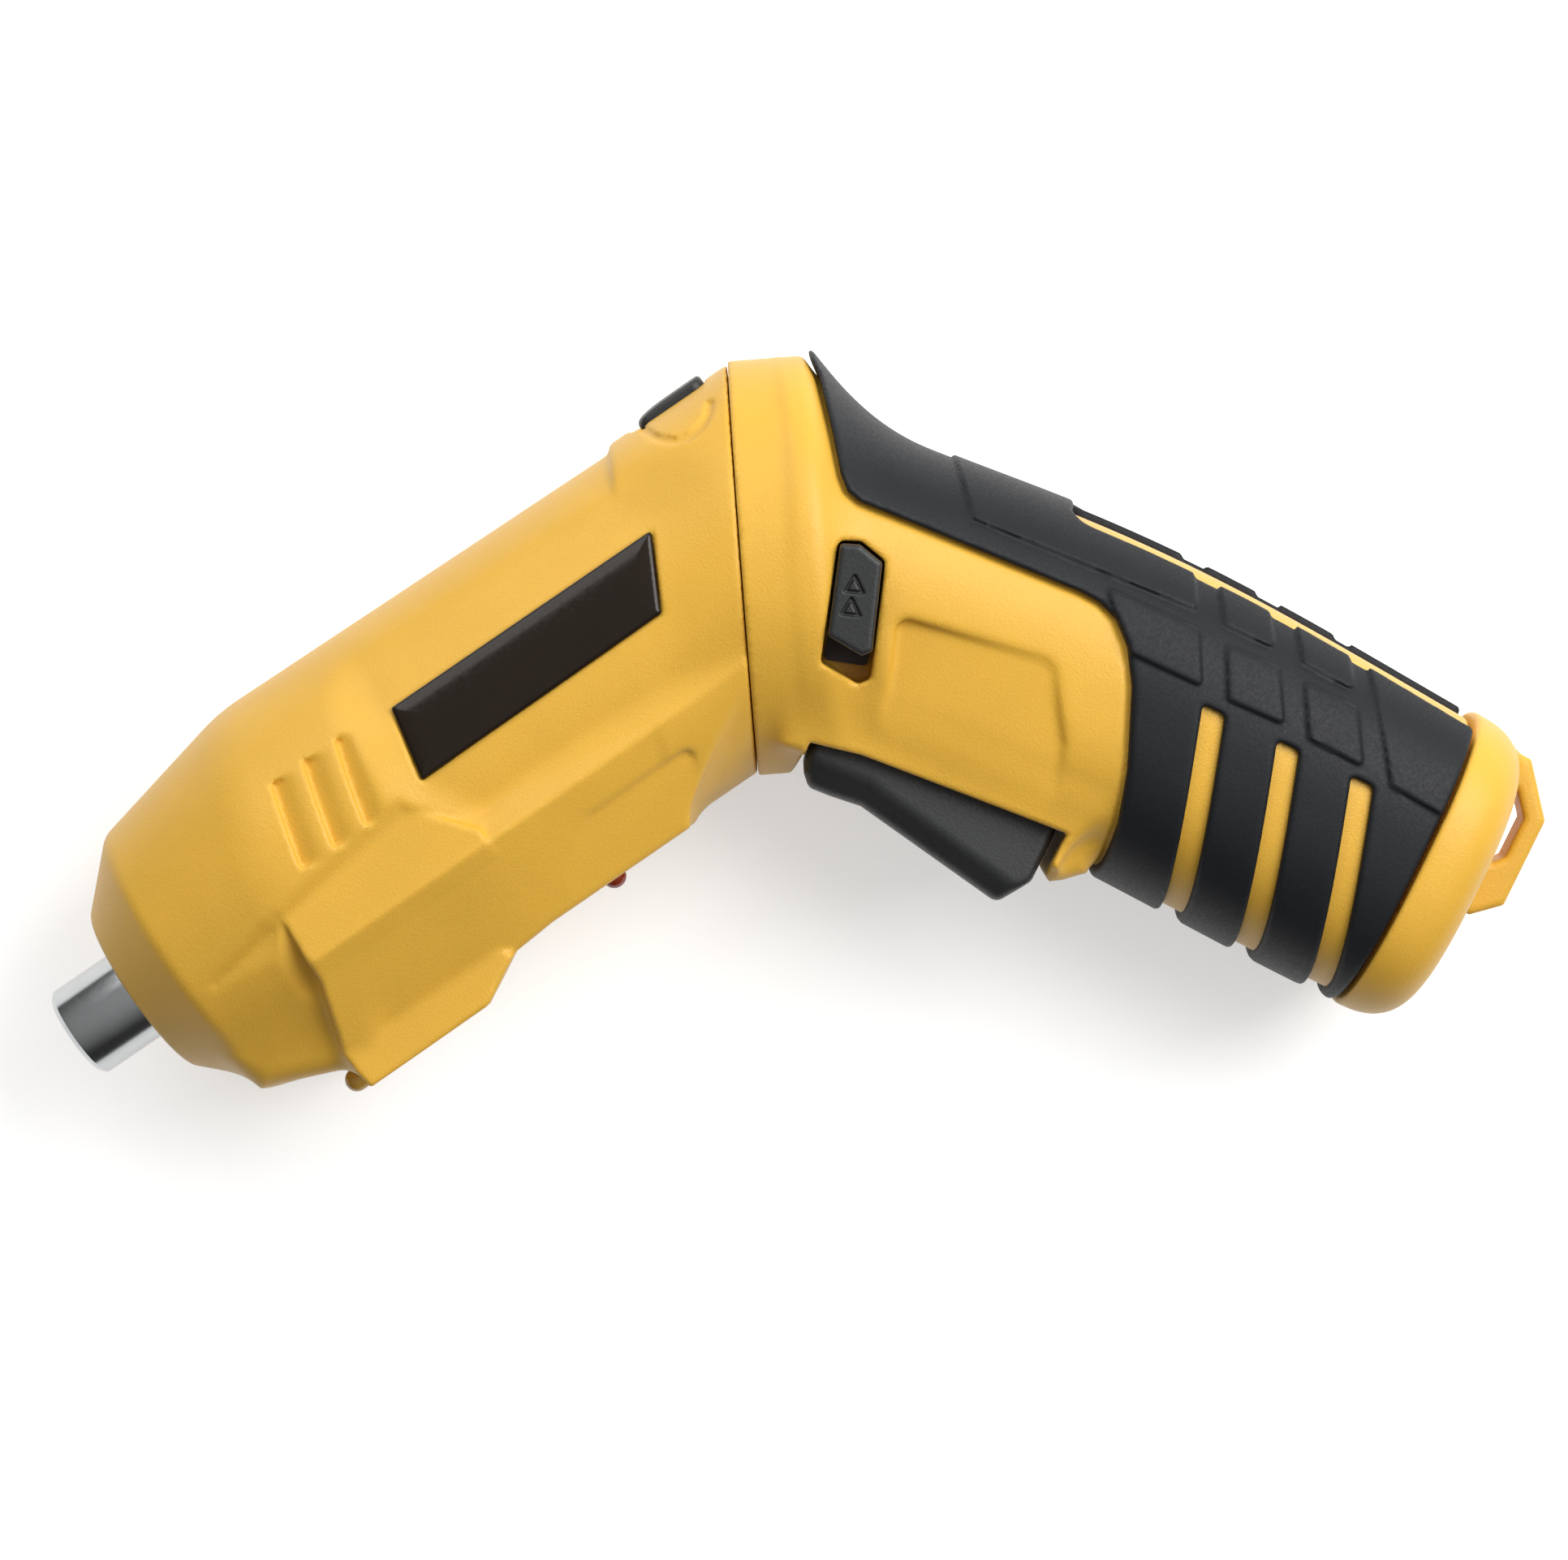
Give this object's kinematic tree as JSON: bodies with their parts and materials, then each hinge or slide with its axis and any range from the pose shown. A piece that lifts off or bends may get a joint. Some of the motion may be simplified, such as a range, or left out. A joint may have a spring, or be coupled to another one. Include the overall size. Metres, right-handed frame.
{
  "type": "cordless screwdriver with a swivel handle",
  "caption": "Cordless screwdriver with a hex bit spindle, a planetary gear train and a rubber-clad handle that swivels from pistol to straight.",
  "frame": {"origin": "centre of the bit socket's mouth", "axes": "+X back along the spindle axis, +Y the tool's top, +Z its left side; the tool lies on its right side"},
  "size_m": [0.1674, 0.1131, 0.0444],
  "materials": {
    "head_shell": "fine spark-eroded yellow plastic",
    "handle_shell": "fine spark-eroded yellow plastic",
    "cap": "fine spark-eroded yellow plastic",
    "rubber": "matte black soft overmould",
    "badge": "gloss black, bare",
    "black_plastic": "satin black plastic",
    "inner_plastic": "glass-filled nylon",
    "spindle_steel": "bright zinc",
    "inner_steel": "ground steel",
    "motor_steel": "zinc-plated motor can",
    "bronze": "sintered bronze and nickel strip",
    "clear_lens": "clear lens",
    "red_lens": "dark red lens, unlit",
    "cell_case": "wrapped cell",
    "board": "printed circuit board"
  },
  "bodies": {
    "handle": {"handle_shell_left": "handle_shell", "handle_shell_right": "handle_shell", "grip_left": "rubber", "grip_right": "rubber", "tail_cap": "cap", "swivel_hub": "inner_plastic", "trigger_pin": "inner_steel", "trigger_switch": "inner_plastic", "direction_switch": "inner_plastic", "battery_cell": "cell_case", "cell_contact_front": "bronze", "cell_contact_back": "bronze", "charge_board": "board", "charge_socket": "inner_steel"},
    "head": {"head_shell_left": "head_shell", "head_shell_right": "head_shell", "badge_plate": "badge", "work_light": "clear_lens", "indicator_light": "red_lens", "nose_bush": "bronze", "ring_gear": "inner_plastic", "motor_can": "motor_steel", "motor_end_bell": "inner_plastic", "lock_spring": "inner_steel"},
    "spindle": {"output_spindle": "spindle_steel", "bit_magnet": "inner_steel", "spindle_clip": "inner_steel", "output_carrier": "inner_steel"},
    "stage_carrier": {"first_carrier": "inner_steel"},
    "rotor": {"motor_shaft": "inner_steel", "motor_pinion": "inner_steel"},
    "lock": {"lock_button": "black_plastic"},
    "trigger": {"trigger": "black_plastic"},
    "slider": {"direction_slider": "black_plastic"},
    "output_gear_1": {"output_planet_1": "inner_steel"},
    "output_gear_2": {"output_planet_2": "inner_steel"},
    "output_gear_3": {"output_planet_3": "inner_steel"},
    "first_gear_1": {"first_planet_1": "inner_steel"},
    "first_gear_2": {"first_planet_2": "inner_steel"},
    "first_gear_3": {"first_planet_3": "inner_steel"}
  },
  "joints": [
    {"name": "swivel", "type": "hinge", "parent": "handle", "child": "head", "pos_m": [0.1004, 0.0012, 0], "axis": [0.866, -0.5, 0], "range_deg": [0, 180]},
    {"name": "spindle_spin", "type": "hinge", "parent": "head", "child": "spindle", "pos_m": [0, 0, 0], "axis": [1, 0, 0], "continuous": true},
    {"name": "stage_spin", "type": "hinge", "parent": "head", "child": "stage_carrier", "pos_m": [0.033, 0, 0], "axis": [1, 0, 0], "continuous": true},
    {"name": "rotor_spin", "type": "hinge", "parent": "head", "child": "rotor", "pos_m": [0.05, 0, 0], "axis": [1, 0, 0], "continuous": true},
    {"name": "lock_press", "type": "slide", "parent": "head", "child": "lock", "axis": [-0.5, -0.866, 0], "range_m": [0, 0.002], "stiffness_N_per_m": 1200, "springref_m": -0.001, "deforming": ["lock_spring"]},
    {"name": "trigger_pull", "type": "hinge", "parent": "handle", "child": "trigger", "pos_m": [0.09975, -0.02227, 0], "axis": [0, 0, 1], "range_deg": [0, 6], "stiffness_Nm_per_rad": 1.2, "springref_deg": -1.72},
    {"name": "direction_slide", "type": "slide", "parent": "handle", "child": "slider", "axis": [-0.682, -0.7314, 0], "range_m": [0, 0.003]},
    {"name": "output_gear_1_spin", "type": "hinge", "parent": "spindle", "child": "output_gear_1", "pos_m": [0.0275, 0.0075, 0], "axis": [1, 0, 0], "continuous": true},
    {"name": "output_gear_2_spin", "type": "hinge", "parent": "spindle", "child": "output_gear_2", "pos_m": [0.0275, -0.00375, 0.0065], "axis": [1, 0, 0], "continuous": true},
    {"name": "output_gear_3_spin", "type": "hinge", "parent": "spindle", "child": "output_gear_3", "pos_m": [0.0275, -0.00375, -0.0065], "axis": [1, 0, 0], "continuous": true},
    {"name": "first_gear_1_spin", "type": "hinge", "parent": "stage_carrier", "child": "first_gear_1", "pos_m": [0.0358, 0.0075, 0], "axis": [1, 0, 0], "continuous": true},
    {"name": "first_gear_2_spin", "type": "hinge", "parent": "stage_carrier", "child": "first_gear_2", "pos_m": [0.0358, -0.00375, 0.0065], "axis": [1, 0, 0], "continuous": true},
    {"name": "first_gear_3_spin", "type": "hinge", "parent": "stage_carrier", "child": "first_gear_3", "pos_m": [0.0358, -0.00375, -0.0065], "axis": [1, 0, 0], "continuous": true}
  ],
  "couplings": [
    {"joint": "stage_spin", "follows": "spindle_spin", "ratio": 6},
    {"joint": "rotor_spin", "follows": "spindle_spin", "ratio": 36},
    {"joint": "output_gear_1_spin", "follows": "spindle_spin", "ratio": -2.5},
    {"joint": "output_gear_2_spin", "follows": "spindle_spin", "ratio": -2.5},
    {"joint": "output_gear_3_spin", "follows": "spindle_spin", "ratio": -2.5},
    {"joint": "first_gear_1_spin", "follows": "spindle_spin", "ratio": -15},
    {"joint": "first_gear_2_spin", "follows": "spindle_spin", "ratio": -15},
    {"joint": "first_gear_3_spin", "follows": "spindle_spin", "ratio": -15}
  ]
}
